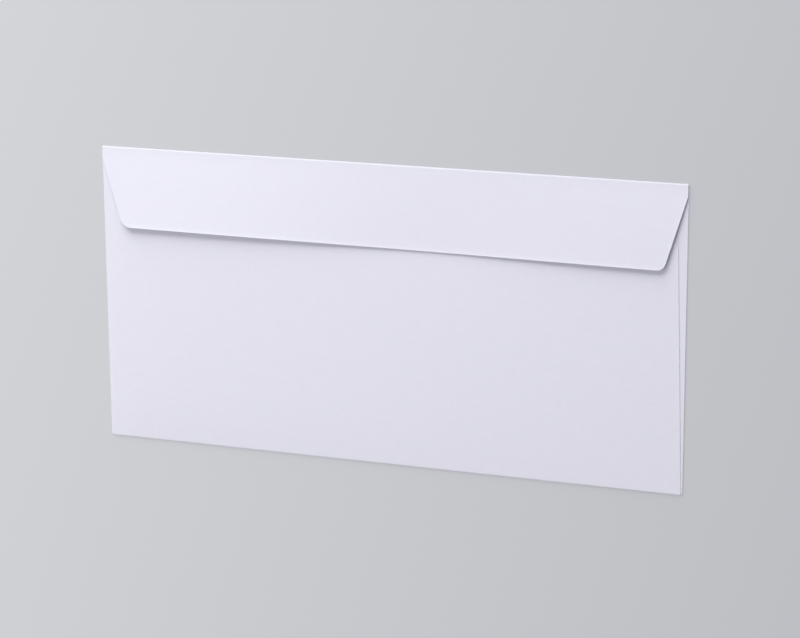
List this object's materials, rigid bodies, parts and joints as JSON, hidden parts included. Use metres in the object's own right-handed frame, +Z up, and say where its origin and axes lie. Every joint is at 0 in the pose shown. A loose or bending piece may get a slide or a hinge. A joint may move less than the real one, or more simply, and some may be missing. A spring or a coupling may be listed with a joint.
{
  "type": "paper envelope",
  "caption": "Plain white paper envelope for a letter sheet folded in three, with its long closing flap folded over and left unsealed.",
  "frame": {"origin": "middle of the outline, on the surface that the envelope's address side lies on", "axes": "+X along the flap fold, +Y from the foot fold up to the flap fold, +Z up through the plies to the flap side"},
  "size_m": [0.22, 0.11, 0.0024],
  "materials": {
    "paper": "uncoated"
  },
  "bodies": {
    "root": {"envelope": "paper"}
  },
  "joints": []
}
